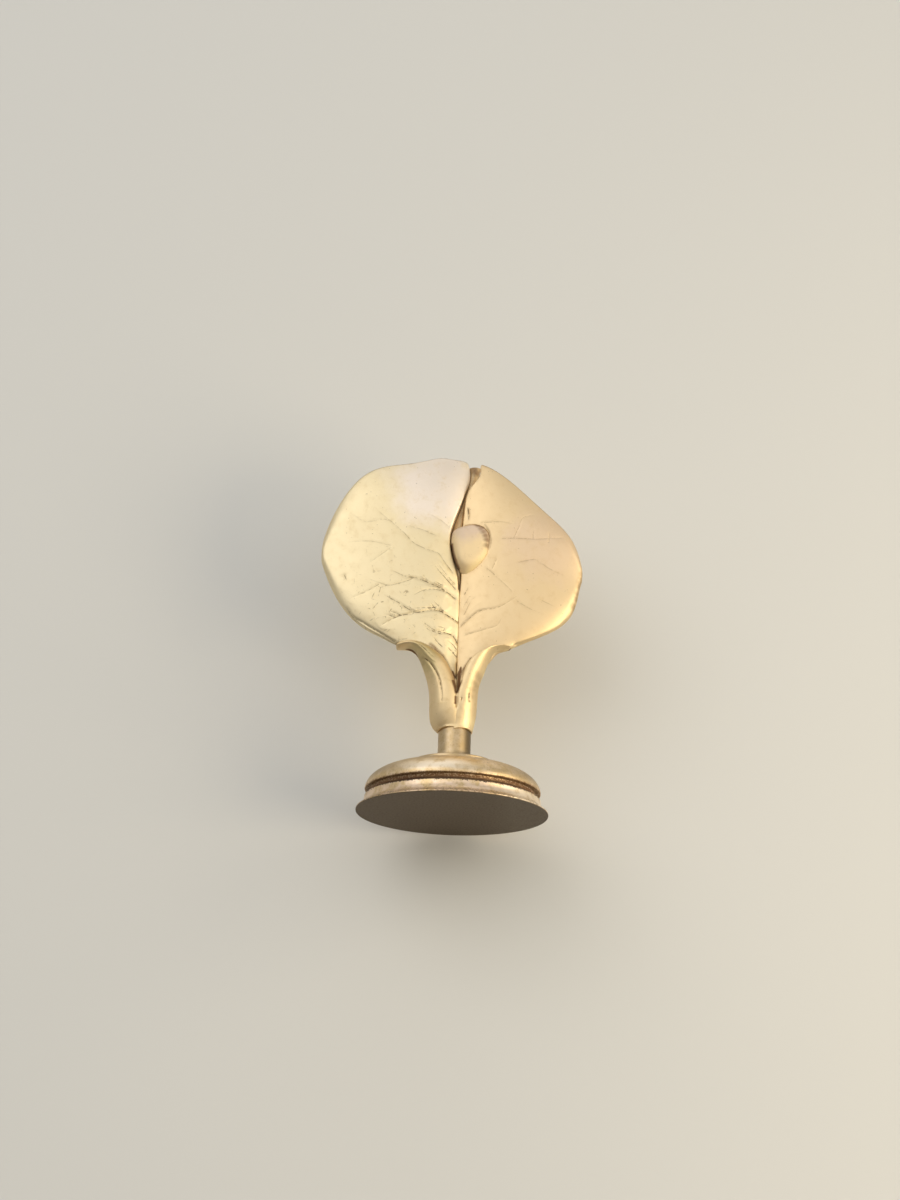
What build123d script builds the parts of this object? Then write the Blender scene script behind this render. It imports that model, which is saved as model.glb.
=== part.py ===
from build123d import *
from math import exp
import os

# Desk seal with a leaf for its handle, standing on its seal face.
# Millimetres, +Z up, front of the leaf towards -Y, origin at the centre of the seal face.

# Seal die: the thin turned disc with the plain seal face, and its threaded boss
face_diameter = 25.0
face_land = 0.25
die_height = 1.9
die_top_diameter = 22.9
die_cove_depth = 0.35
boss_diameter = 7.0
boss_height = 2.3
bore_floor = 0.8

# Washer in the groove between die and foot
groove_diameter = 21.4
groove_width = 1.0
washer_thickness = 0.35
washer_bore_clearance = 0.2

# Foot: the domed disc, with a low crown under the neck
foot_diameter = 22.9
foot_edge = 0.25
dome_height = 3.4
crown_diameter = 10.6
crown_step = 0.25

# Neck: turned, tenoned into the foot and spigoted into the sheath
neck_diameter = 4.3
neck_base_diameter = 5.7
neck_flare = 1.7
neck_length = 4.05
tenon_diameter = 4.1
tenon_length = 1.3
spigot_diameter = 3.2
spigot_length = 2.9

# Stud: M3, fixed in the neck and screwed into the die
stud_diameter = 3.0
stud_grip = 4.6
stud_end_gap = 0.2

# Fits
thread_clearance = 0.05
slip_clearance = 0.03
boss_clearance = 0.15
boss_end_gap = 0.2

# Leaf: two cupped halves that meet in a valley at the seam
leaf_thickness = 2.0
leaf_height = 27.9
leaf_lift = 8.9
left_reach = 18.8
right_reach = 16.45
right_half_drop = 1.0
seam_sway = 1.5
seam_top_left = 0.9
seam_top_right = 2.3
leaf_front = -1.2
fold_depth = 1.7
fold_width = 3.2
rim_drop = 1.6
rim_width = 4.5
top_drop = 1.0
top_width = 5.0
root_lean = 0.6
root_width = 8.0
root_half_width = 1.4
seam_gap = 0.16
rim_thickness = 1.1
rim_bulge = 0.45

# Spine: the rear midrib, with its tang on the neck
spine_width = 2.6
spine_depth = 2.3
spine_drop = 0.85

# Bud, and the rivet that holds it
bud_length = 7.4
bud_diameter = 5.0
bud_tilt = 11.0
bud_x = 1.35
bud_rise = 14.0
bud_seat = 1.2
bud_plug = 0.3
pin_diameter = 1.2
pin_grip = 1.6
pin_x = 1.8
rivet_diameter = 2.2
rivet_height = 0.4

# Sheath: two bracts round the root of the leaf, each with a lip that curls outwards
cuff_diameter = 4.6
left_sheath_width = 3.3
right_sheath_width = 2.65
sheath_depth = 5.6
left_lip_reach = 7.3
left_lip_drop = 0.5
right_lip_reach = 7.1
right_lip_rise = 0.5
lip_thickness = 0.8
lip_depth = 3.0
lip_lean = -0.3
window_rise = 5.05
window_side = 0.1

# Heights that follow from the stack of pieces
foot_bottom = die_height + washer_thickness
dome_bottom = die_height + groove_width
dome_top = dome_bottom + dome_height
crown_top = dome_top + crown_step
neck_top = crown_top + neck_length
root_height = neck_top + spigot_length
tenon_bottom = crown_top - tenon_length
boss_top = die_height + boss_height
stud_bottom = bore_floor + stud_end_gap
stud_top = tenon_bottom + stud_grip
leaf_base = root_height + leaf_lift
leaf_top = leaf_base + leaf_height
right_half_top = leaf_top - right_half_drop
spine_top = leaf_top - spine_drop
bud_z = leaf_base + bud_rise
left_lip_height = leaf_base - left_lip_drop
right_lip_height = leaf_base + right_lip_rise


def turned(*outline):
    """A solid of revolution about Z from the lines and curves of half its section."""
    return revolve(Plane.XZ * make_face(Wire(list(outline))), Axis.Z)


def chain(*corners):
    """Straight edges through (radius, height) corners."""
    return [Edge.make_line((*a, 0), (*b, 0)) for a, b in zip(corners, corners[1:])]


def seal_die():
    face = face_diameter / 2
    top = die_top_diameter / 2
    boss = boss_diameter / 2
    bore = stud_diameter / 2 + thread_clearance
    cove_middle = ((face + top) / 2 - die_cove_depth, (face_land + die_height) / 2 - die_cove_depth / 2)
    cove = Edge.make_three_point_arc((face, face_land, 0), (*cove_middle, 0), (top, die_height, 0))
    return turned(
        *chain((0, bore_floor), (0, 0), (face, 0), (face, face_land)),
        cove,
        *chain((top, die_height), (boss, die_height), (boss, boss_top), (bore, boss_top),
               (bore, bore_floor), (0, bore_floor)),
    )


def die_washer():
    hole = boss_diameter / 2 + washer_bore_clearance
    rim = groove_diameter / 2
    return turned(*chain((hole, die_height), (rim, die_height), (rim, foot_bottom), (hole, foot_bottom),
                         (hole, die_height)))


def foot():
    rim = foot_diameter / 2
    rabbet = groove_diameter / 2
    crown = crown_diameter / 2
    counterbore = boss_diameter / 2 + boss_clearance
    counterbore_top = boss_top + boss_end_gap
    bore = stud_diameter / 2 + slip_clearance
    recess = tenon_diameter / 2 + slip_clearance
    edge_top = dome_bottom + foot_edge
    dome = Edge.make_spline([(rim, edge_top, 0), (crown, dome_top, 0)],
                            tangents=[(-0.2, 1, 0), (-1, 0.12, 0)])
    return turned(
        *chain((bore, counterbore_top), (counterbore, counterbore_top), (counterbore, foot_bottom),
               (rabbet, foot_bottom), (rabbet, dome_bottom), (rim, dome_bottom), (rim, edge_top)),
        dome,
        *chain((crown, dome_top), (crown, crown_top), (recess, crown_top), (recess, tenon_bottom),
               (bore, tenon_bottom), (bore, counterbore_top)),
    )


def neck():
    shaft = neck_diameter / 2
    base = neck_base_diameter / 2
    tenon = tenon_diameter / 2
    spigot = spigot_diameter / 2
    bore = stud_diameter / 2
    flare_top = crown_top + neck_flare
    flare = Edge.make_spline([(base, crown_top, 0), (shaft, flare_top, 0)],
                             tangents=[(-0.6, 0.8, 0), (0, 1, 0)])
    return turned(
        *chain((0, stud_top), (bore, stud_top), (bore, tenon_bottom), (tenon, tenon_bottom),
               (tenon, crown_top), (base, crown_top)),
        flare,
        *chain((shaft, flare_top), (shaft, neck_top), (spigot, neck_top), (spigot, root_height),
               (0, root_height), (0, stud_top)),
    )


def stud():
    rim = stud_diameter / 2
    return turned(*chain((0, stud_bottom), (rim, stud_bottom), (rim, stud_top), (0, stud_top),
                         (0, stud_bottom)))


def blade_front(out, height, reach):
    """Y of a half's front face, at a distance out from the seam and a height."""
    valley = fold_depth * exp(-out / fold_width)
    rim = rim_drop * exp((out - reach) / rim_width)
    top = top_drop * exp((height - leaf_top) / top_width)
    root = root_lean * exp((root_height - height) / root_width)
    return leaf_front + valley + rim + top - root


def blade_section(low, high, side, reach):
    """A section of a half from its lower rim to its upper rim: two long curves and two round ends."""
    along = (high - low).normalized()
    low = low + along * rim_bulge
    high = high - along * rim_bulge
    front_points = []
    back_points = []
    places = (0, 0.1, 0.35, 0.65, 0.9, 1)
    for t, thinning in zip(places, (1, 0.25, 0, 0, 0.25, 1)):
        point = low + (high - low) * t
        inset = thinning * (leaf_thickness - rim_thickness) / 2
        y = blade_front(side * point.X, point.Z, reach)
        front_points.append((point.X, y + inset, point.Z))
        back_points.append((point.X, y + leaf_thickness - inset, point.Z))
    front = Edge.make_spline(front_points, parameters=places)
    back = Edge.make_spline(back_points, parameters=places)
    high_end = Edge.make_three_point_arc(front @ 1, (front @ 1 + back @ 1) / 2 + along * rim_bulge, back @ 1)
    low_end = Edge.make_three_point_arc(front @ 0, (front @ 0 + back @ 0) / 2 - along * rim_bulge, back @ 0)
    return make_face(Wire([front, high_end, back, low_end]))


def blade_sheet(side, reach, upper_rim, lower_rim):
    """One half of the leaf before it is trimmed: sections from rim to rim, out to the half's reach."""
    stations = 8
    sections = []
    for i in range(stations + 1):
        t = i / stations
        sections.append(blade_section(lower_rim @ t, upper_rim @ t, side, reach))
    below_root = Pos(0, 0, root_height) * Box(2 * reach, 2 * reach, 2 * reach,
                                              align=(Align.CENTER, Align.CENTER, Align.MAX))
    return loft(sections) - below_root


def past_seam(side, reach, seam):
    """Everything on the far side of a half's seam edge."""
    low, high = seam @ 0, seam @ 1
    low_corner = Vector(-side * reach, 0, low.Z)
    high_corner = Vector(-side * reach, 0, high.Z)
    border = Wire([seam, Edge.make_line(high, high_corner), Edge.make_line(high_corner, low_corner),
                   Edge.make_line(low_corner, low)])
    return extrude(make_face(border).moved(Pos(0, -reach, 0)), amount=2 * reach, dir=(0, 1, 0))


def rise(fraction):
    """Height at a fraction of the way from the base of the leaf to its top."""
    return leaf_base + fraction * (leaf_top - leaf_base)


def curve(*points):
    """A spline in the plane of the leaf through (x, height) points."""
    return Edge.make_spline([(x, 0, height) for x, height in points])


def left_sheet():
    start = 2 * seam_top_left
    upper_rim = curve((start, rise(1.004)), (-0.21 * left_reach, rise(0.983)),
                      (-0.36 * left_reach, rise(0.953)), (-0.655 * left_reach, rise(0.906)),
                      (-0.9 * left_reach, rise(0.71)),
                      (-0.985 * left_reach, rise(0.56)), (-left_reach, rise(0.5)))
    lower_rim = curve((start, root_height - 1), (-root_half_width, root_height),
                      (-0.412 * left_lip_reach, rise(-0.15)), (-0.9786 * left_lip_reach, rise(0)),
                      (-0.6 * left_reach, rise(0.06)), (-0.795 * left_reach, rise(0.162)),
                      (-0.928 * left_reach, rise(0.306)), (-0.978 * left_reach, rise(0.373)),
                      (-left_reach, rise(0.43)))
    return blade_sheet(-1, left_reach, upper_rim, lower_rim)


def right_sheet():
    start = -root_half_width
    upper_rim = curve((start, right_half_top + 0.4), (1.1 * seam_top_right, right_half_top),
                      (0.365 * right_reach, rise(0.884)), (0.675 * right_reach, rise(0.72)),
                      (0.9 * right_reach, rise(0.59)), (0.98 * right_reach, rise(0.49)),
                      (right_reach, rise(0.44)))
    lower_rim = curve((start, root_height - 1), (root_half_width, root_height),
                      (0.3707 * right_lip_reach, rise(-0.15)), (0.8804 * right_lip_reach, rise(-0.01)),
                      (0.565 * right_reach, rise(0.05)), (0.79 * right_reach, rise(0.116)),
                      (0.95 * right_reach, rise(0.246)), (0.985 * right_reach, rise(0.315)),
                      (right_reach, rise(0.37)))
    return blade_sheet(1, right_reach, upper_rim, lower_rim)


def left_seam():
    inner = -seam_gap / 2
    return curve((inner, root_height - 2), (inner, rise(0)), (inner, rise(0.26)),
                 (-0.35 * seam_sway, rise(0.4)), (-0.9 * seam_sway, rise(0.5)), (-seam_sway, rise(0.57)),
                 (-0.4 * seam_sway, rise(0.7)), (0.5 * seam_top_left, rise(0.82)),
                 (seam_top_left, rise(0.93)), (0.4 * seam_top_left, rise(0.995)),
                 (-2 * seam_top_left, rise(1.05)))


def right_seam():
    inner = seam_gap / 2
    return curve((inner, root_height - 2), (inner, rise(-0.1)), (inner, rise(0.2)), (inner, rise(0.45)),
                 (0.12 * seam_top_right, rise(0.74)), (0.47 * seam_top_right, rise(0.84)),
                 (0.84 * seam_top_right, rise(0.88)), (seam_top_right, rise(0.93)),
                 (0.99 * seam_top_right, rise(0.955)), (1.2 * seam_top_right, rise(0.98)),
                 (2 * seam_top_right, rise(1)))


def spine_bar():
    """The rear midrib before it is seated: a tapering bar behind the seam."""
    stations = ((root_height, 0.0, 0.9), (rise(0.0), 0.0, 1.0), (rise(0.3), 0.0, 1.0),
                (rise(0.53), -0.3, 1.15), (rise(0.75), 0.1, 0.9), (spine_top, 1.05, 0.65))
    sections = []
    for height, swing, taper in stations:
        y = blade_front(0, height, left_reach) + leaf_thickness
        place = Plane(origin=(swing * seam_sway, y, height))
        sections.append(place * Ellipse(taper * spine_width / 2, taper * spine_depth / 2))
    return loft(sections)


def bud():
    """The front half of an egg on a tilted axis, on a plug that seats in a pocket of the leaf."""
    tail, crown = -bud_length / 2, bud_length / 2
    side = Edge.make_spline([(0, tail, 0), (bud_diameter / 2, 0.1 * bud_length, 0), (0, crown, 0)],
                            tangents=[(0.75, 0.65, 0), (0, 1, 0), (-1, 0, 0)])
    half_section = make_face(Wire([side, Edge.make_line((0, crown, 0), (0, tail, 0))]))
    egg = revolve(Plane.XZ * half_section, Axis.Z, -180)
    section = Plane.XZ * (half_section + mirror(half_section, Plane.YZ))
    plug = extrude(section, amount=bud_plug, dir=(0, 1, 0))
    return Pos(bud_x, bud_seat - bud_plug, bud_z) * Rot(0, bud_tilt, 0) * (egg + plug)


def bud_pin(right):
    """A rivet from inside the bud through the right half, with a low head on the leaf's back."""
    back = blade_front(pin_x, bud_z, right_reach) + leaf_thickness
    start = bud_seat - pin_grip
    towards_back = Plane(origin=(pin_x, start, bud_z), z_dir=(0, 1, 0))
    standing = (Align.CENTER, Align.CENTER, Align.MIN)
    shank = towards_back * Cylinder(pin_diameter / 2, back - start, align=standing)
    head = towards_back * Pos(0, 0, back - start - rivet_height) * Cylinder(
        rivet_diameter / 2, 2 * rivet_height, align=standing)
    return shank + (head - right)


def window():
    """The space in front of the leaf that the bracts leave open, narrowing down to a V between them."""
    left_rise = left_lip_height - neck_top
    right_rise = right_lip_height - neck_top
    low = (window_side, neck_top + window_rise)
    left_rim = curve(low, (-0.041 * left_lip_reach, neck_top + 0.635 * left_rise),
                     (-0.182 * left_lip_reach, neck_top + 0.837 * left_rise),
                     (-0.467 * left_lip_reach, neck_top + 1.027 * left_rise),
                     (-0.697 * left_lip_reach, neck_top + 1.108 * left_rise),
                     (-1.055 * left_lip_reach, neck_top + 1.094 * left_rise))
    right_rim = curve(low, (0.076 * right_lip_reach, neck_top + 0.507 * right_rise),
                      (0.162 * right_lip_reach, neck_top + 0.727 * right_rise),
                      (0.386 * right_lip_reach, neck_top + 0.882 * right_rise),
                      (0.762 * right_lip_reach, neck_top + 0.98 * right_rise),
                      (1.062 * right_lip_reach, neck_top + 0.99 * right_rise))
    left_corner = Vector(-2 * left_lip_reach, 0, leaf_top)
    right_corner = Vector(2 * right_lip_reach, 0, leaf_top)
    border = Wire([left_rim, Edge.make_line(left_rim @ 1, left_corner),
                   Edge.make_line(left_corner, right_corner), Edge.make_line(right_corner, right_rim @ 1),
                   right_rim])
    return extrude(make_face(border), amount=left_reach, dir=(0, -1, 0))


def bract(side, sheath_width, lip_reach, lip_height, around):
    """Half of the sheath: sections along a path that rises from the neck and curls outwards."""
    cuff = cuff_diameter / 2
    height = lip_height - neck_top
    path = Edge.make_spline([
        (side * 0.2 * cuff, 0, neck_top),
        (side * 0.25 * sheath_width, 0, neck_top + 0.28 * height),
        (side * 0.5 * sheath_width, 0, neck_top + 0.56 * height),
        (side * (0.85 * sheath_width + 0.08 * lip_reach), lip_lean / 2, neck_top + 0.87 * height),
        (side * lip_reach, lip_lean, lip_height),
    ], tangents=[(0, 0, 1), (side, 0, 0)])
    sections = []
    stations = (
        (0, 0.8 * cuff, cuff),
        (0.08, 0.76 * sheath_width, 0.42 * sheath_depth),
        (0.23, 0.8 * sheath_width, 0.5 * sheath_depth),
        (0.44, 0.62 * sheath_width, 0.5 * sheath_depth),
        (0.66, 0.5 * sheath_width, 0.45 * sheath_depth),
        (0.84, lip_thickness, 0.7 * lip_depth),
        (1, 0.5 * lip_thickness, 0.4 * lip_depth),
    )
    for t, width, depth in stations:
        across = Vector(0, 1, 0).cross(path % t)
        place = Plane(origin=path @ t, x_dir=across, z_dir=path % t)
        sections.append(place * Ellipse(width, depth))
    own_side = Box(4 * lip_reach, 4 * lip_reach, 4 * lip_height,
                   align=(Align.MIN if side > 0 else Align.MAX, Align.CENTER, Align.CENTER))
    half = loft(sections) & own_side
    for piece in around:
        half = half - piece
    return half


def build():
    shaft = neck()
    egg = bud()
    bar = spine_bar()
    left_blade = left_sheet()
    right_blade = right_sheet()
    left = left_blade - past_seam(-1, left_reach, left_seam()) - egg
    right = right_blade - past_seam(1, right_reach, right_seam()) - egg
    pin = bud_pin(right)
    opening = window()
    return {
        "seal_die": seal_die(),
        "die_washer": die_washer(),
        "foot": foot(),
        "neck": shaft,
        "stud": stud(),
        "leaf_left": left,
        "leaf_right": right - pin,
        "leaf_spine": bar - left - right - egg - pin,
        "bud": egg - pin,
        "bud_pin": pin,
        "bract_left": bract(-1, left_sheath_width, left_lip_reach, left_lip_height,
                            (shaft, left_blade, bar, opening)),
        "bract_right": bract(1, right_sheath_width, right_lip_reach, right_lip_height,
                             (shaft, right_blade, bar, opening)),
    }


os.makedirs("parts", exist_ok=True)
for name, solid in build().items():
    export_step(solid, f"parts/{name}.step")
    print(name, round(solid.volume, 2), solid.is_valid, len(solid.solids()))
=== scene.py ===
import math
import bpy
import numpy as np
from mathutils import Matrix, Vector
from mathutils.bvhtree import BVHTree
from mathutils.geometry import interpolate_bezier
from mathutils.kdtree import KDTree


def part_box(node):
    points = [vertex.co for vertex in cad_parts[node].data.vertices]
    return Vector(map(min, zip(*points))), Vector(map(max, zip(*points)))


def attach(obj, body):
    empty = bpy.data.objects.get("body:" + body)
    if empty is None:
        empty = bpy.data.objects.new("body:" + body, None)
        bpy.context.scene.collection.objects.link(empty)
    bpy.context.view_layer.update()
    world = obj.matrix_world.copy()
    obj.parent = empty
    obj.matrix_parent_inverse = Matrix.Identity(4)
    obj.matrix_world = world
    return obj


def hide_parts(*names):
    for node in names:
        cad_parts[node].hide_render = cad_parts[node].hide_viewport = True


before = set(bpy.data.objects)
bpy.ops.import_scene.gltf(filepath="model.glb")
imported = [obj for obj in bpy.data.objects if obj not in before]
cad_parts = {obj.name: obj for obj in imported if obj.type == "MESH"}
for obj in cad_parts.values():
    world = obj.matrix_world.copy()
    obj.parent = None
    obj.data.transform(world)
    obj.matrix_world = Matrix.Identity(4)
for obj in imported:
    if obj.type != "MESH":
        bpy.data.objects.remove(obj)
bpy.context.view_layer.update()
mm = 0.001
print("frame loaded,", len(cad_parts), "nodes")


# Making and shaping pieces

mergeWithin = 0.001 * mm
smoothFactor = 0.5
trailSpacing = 0.6  # of a spot's radius
turning = {"segments": 160, "edgeSteps": 3, "edgeAngle": 35, "flatWeight": 50}
cutting = {"taper": 0.7, "inkReach": 0.5, "shoulder": 0.6, "shoulderReach": 0.9}
rimShadeRamp = {"gain": 1.5, "start": 0.35}


def deselectAll():
    if bpy.context.object and bpy.context.object.mode != "OBJECT":
        bpy.ops.object.mode_set(mode="OBJECT")
    bpy.ops.object.select_all(action="DESELECT")


def shapeWith(piece, kind, **settings):  # one modifier, set and applied
    bpy.context.view_layer.objects.active = piece
    modifier = piece.modifiers.new(kind, kind)
    for key, value in settings.items():
        setattr(modifier, key, value)
    bpy.ops.object.modifier_apply(modifier=modifier.name)


def readPoints(piece):
    points = np.zeros(len(piece.data.vertices) * 3)
    piece.data.vertices.foreach_get("co", points)
    normals = np.zeros(len(points))
    piece.data.vertices.foreach_get("normal", normals)
    return points.reshape(-1, 3), normals.reshape(-1, 3)


def movePoints(piece, points):
    piece.data.vertices.foreach_set("co", points.ravel())
    piece.data.update()


def keepValues(piece, name, values):  # one value for each point, for the finish to read
    layer = piece.data.attributes.new(name, "FLOAT", "POINT")
    layer.data.foreach_set("value", values.astype(np.float32))


def bezier(start, startWay, end, endWay, count):  # a curved stretch of an outline
    reach = math.dist(start, end) / 3
    first, last = Vector((*start, 0)), Vector((*end, 0))
    leaving = first + Vector((*startWay, 0)).normalized() * reach
    arriving = last - Vector((*endWay, 0)).normalized() * reach
    return [(p.x, p.y) for p in interpolate_bezier(first, leaving, arriving, last, count)]


def drawOutline(name, outline):  # a chain of edges through (radius, height) points, extruded one by one
    deselectAll()
    radius, height = outline[0]
    bpy.ops.mesh.primitive_plane_add(size=mm, location=(radius * mm, 0, height * mm))
    piece = bpy.context.object
    piece.name = name
    bpy.ops.object.transform_apply(location=True, rotation=True, scale=True)
    bpy.ops.object.mode_set(mode="EDIT")
    bpy.ops.mesh.select_all(action="SELECT")
    bpy.ops.mesh.merge(type="CENTER")
    for (r0, h0), (r1, h1) in zip(outline, outline[1:]):
        move = ((r1 - r0) * mm, 0, (h1 - h0) * mm)
        bpy.ops.mesh.extrude_region_move(TRANSFORM_OT_translate={"value": move})
    bpy.ops.mesh.select_all(action="SELECT")
    return piece


def turnedPiece(name, outline, softEdge):  # spun about Z from half a section
    piece = drawOutline(name, outline)
    bpy.ops.mesh.spin(steps=turning["segments"], angle=2 * math.pi, center=(0, 0, 0), axis=(0, 0, 1))
    bpy.ops.mesh.select_all(action="SELECT")
    bpy.ops.mesh.remove_doubles(threshold=mergeWithin)
    bpy.ops.mesh.normals_make_consistent(inside=False)
    bpy.ops.object.mode_set(mode="OBJECT")
    shapeWith(piece, "BEVEL", width=softEdge * mm, segments=turning["edgeSteps"], limit_method="ANGLE",
              angle_limit=math.radians(turning["edgeAngle"]))
    bpy.ops.object.shade_smooth()
    shapeWith(piece, "WEIGHTED_NORMAL", weight=turning["flatWeight"], keep_sharp=False)
    return piece


def castCopy(node, name, form, seam=None):  # the node's own form as an even, softened casting
    deselectAll()
    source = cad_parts[node]
    source.select_set(True)
    bpy.context.view_layer.objects.active = source
    bpy.ops.object.duplicate()
    piece = bpy.context.object
    piece.parent = None
    for key in list(piece.keys()):
        del piece[key]
    piece.name = name
    piece.data.materials.clear()
    bpy.ops.object.mode_set(mode="EDIT")
    bpy.ops.mesh.select_all(action="SELECT")
    bpy.ops.mesh.remove_doubles(threshold=mergeWithin)
    bpy.ops.object.mode_set(mode="OBJECT")
    shapeWith(piece, "REMESH", mode="VOXEL", voxel_size=form["voxel"] * mm)
    points, _ = readPoints(piece)
    weights = np.ones(len(points)) if seam is None else 1 - nearSeam(points, seam)
    soften(piece, "soft", weights, form["softening"])
    bpy.ops.object.shade_smooth()
    return piece


def soften(piece, group, weights, rounds):  # smooths a piece where its weights say
    chosen = piece.vertex_groups.new(name=group)
    for i in np.flatnonzero(weights):
        chosen.add([int(i)], weights[i], "REPLACE")
    shapeWith(piece, "SMOOTH", factor=smoothFactor, iterations=rounds, vertex_group=group)


def softenTips(piece, tips):  # rounds a half's outermost end
    points, _ = readPoints(piece)
    outward = np.abs(points[:, 0]) / mm
    soften(piece, "tip", np.clip((outward - tips["beyond"]) / tips["fade"], 0, 1), tips["rounds"])


def nudge(piece, moves):  # shifts the surface round (x, height) places, each with its spread and its shift
    points, _ = readPoints(piece)
    for x, z, wide, tall, shift in moves:
        across = (points[:, 0] / mm - x) / wide
        upward = (points[:, 2] / mm - z) / tall
        points += np.exp(-across ** 2 - upward ** 2)[:, None] * np.array(shift) * mm
    movePoints(piece, points)


def swell(piece, under, fade, amount):  # fills the lower part of a piece out towards its seat
    points, normals = readPoints(piece)
    weights = np.clip((under - points[:, 2] / mm) / fade, 0, 1)
    points += normals * weights[:, None] * amount * mm
    movePoints(piece, points)


def flatten(piece, seat, depth):  # a flatter front and steeper sides, up to a depth before the seat
    points, _ = readPoints(piece)
    before = np.maximum(0, seat - points[:, 1] / mm)
    points[:, 1] += (before - depth * np.tanh(before / depth)) * mm
    movePoints(piece, points)


def nearSeam(points, seam):  # 1 at the lower seam between two halves, 0 away from it
    low = 1 - np.clip((points[:, 2] / mm - seam["below"]) / seam["fade"], 0, 1)
    return low * (1 - np.clip((np.abs(points[:, 0]) / mm - seam["within"]) / seam["within"], 0, 1))


def closeSeam(piece, seam):  # brings the two halves together, as soldered
    points, _ = readPoints(piece)
    points[:, 0] -= np.sign(points[:, 0].mean()) * nearSeam(points, seam) * seam["shift"] * mm
    movePoints(piece, points)


def smoothLine(points, step=0.05):  # points along a smooth line through (x, height) places
    places = [Vector((x, 0, z)) for x, z in points]
    ends = [2 * places[0] - places[1], *places, 2 * places[-1] - places[-2]]
    line = []
    for before, a, b, after in zip(ends, ends[1:], ends[2:], ends[3:]):
        count = max(2, int((b - a).length / step))
        line += interpolate_bezier(a, a + (b - before) / 6, b - (after - a) / 6, b, count)[:-1]
    return line + [places[-1]]


def engrave(piece, cuts):  # cuts lines into the front, and keeps for each point its side and its ink
    points, normals = readPoints(piece)
    facing = np.clip(-2 * normals[:, 1], 0, 1)  # 0 at the sides and behind
    samples = []
    for cut in cuts:
        line = smoothLine(cut["points"])
        for k, spot in enumerate(line):
            ahead = (line[min(k + 1, len(line) - 1)] - line[max(k - 1, 0)]).normalized()
            samples.append((spot, ahead, cut, k / (len(line) - 1)))
    tree = KDTree(len(samples))
    for i, sample in enumerate(samples):
        tree.insert(sample[0], i)
    tree.balance()
    side, ink, sunk = np.zeros((3, len(points)))
    for i, (x, _, z) in enumerate(points / mm):
        spot, found, away = tree.find((x, 0, z))
        _, ahead, cut, along = samples[found]
        side[i] = math.copysign(away, (x - spot.x) * ahead.z - (z - spot.z) * ahead.x)
        strength = (1 - cutting["taper"] * along ** 2) * facing[i]
        ink[i] = strength * cut["stain"] * math.exp(-(away / cutting["inkReach"]) ** 2)
        valley = math.exp(-(away / cut["width"]) ** 2)
        valley += cutting["shoulder"] * math.exp(-(away / cutting["shoulderReach"]) ** 2)
        sunk[i] = strength * cut["depth"] * valley
    movePoints(piece, points - normals * sunk[:, None] * mm)
    keepValues(piece, "lineSide", side)
    keepValues(piece, "lineInk", ink)


def blotches(piece, spots):  # soft marks round (x, height) places, each with its radius and strength
    points, normals = readPoints(piece)
    mark = np.zeros(len(points))
    for x, z, radius, strength in spots:
        away = np.hypot(points[:, 0] / mm - x, points[:, 2] / mm - z)
        mark = np.maximum(mark, strength * np.exp(-(away / radius) ** 2))
    return mark * np.clip(1 - 2 * normals[:, 1], 0, 1)  # none behind


def trail(radius, strength, *points):  # spots along a line
    return [(spot.x, spot.z, radius, strength) for spot in smoothLine(points, trailSpacing * radius)]


def upwardRimShade(piece, strength):  # painted shade on the rims that face upwards
    _, normals = readPoints(piece)
    return strength * np.clip(rimShadeRamp["gain"] * normals[:, 2] - rimShadeRamp["start"], 0, 1)


def below(piece, height, fade):  # 1 under the height, 0 from one fade further up
    points, _ = readPoints(piece)
    return np.clip(1 + (height - points[:, 2] / mm) / fade, 0, 1)


def nearness(piece, neighbours, reach):  # 1 where another piece touches, falling off over the reach, for painted shade where pieces meet
    points, _ = readPoints(piece)
    close = np.zeros(len(points))
    farthest = 3 * reach * mm  # nothing beyond this
    depsgraph = bpy.context.evaluated_depsgraph_get()
    for other in neighbours:
        tree = BVHTree.FromObject(other, depsgraph)
        for i, point in enumerate(points):
            distance = tree.find_nearest(point, farthest)[3]
            if distance is not None:
                close[i] = max(close[i], math.exp(-(distance / (reach * mm)) ** 2))
    return close


def place(piece, body, slot, finish, *nodes):  # rides its body in place of its nodes
    piece.data.materials.clear()
    piece.data.materials.append(finish)
    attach(piece, body)
    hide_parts(*nodes)


# Shader sheets

class Wire:  # a socket that takes part in sums
    def __init__(self, sheet, socket):
        self.sheet = sheet
        self.socket = socket

    def sum(self, operation, first, second):
        return self.sheet.node("ShaderNodeMath", {"operation": operation}, {0: first, 1: second})

    def __add__(self, other):
        return self.sum("ADD", self, other)

    def __sub__(self, other):
        return self.sum("SUBTRACT", self, other)

    def __rsub__(self, other):
        return self.sum("SUBTRACT", other, self)

    def __mul__(self, other):
        return self.sum("MULTIPLY", self, other)

    def __abs__(self):
        return self.sum("ABSOLUTE", self, 0.0)

    __radd__ = __add__
    __rmul__ = __mul__


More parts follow.
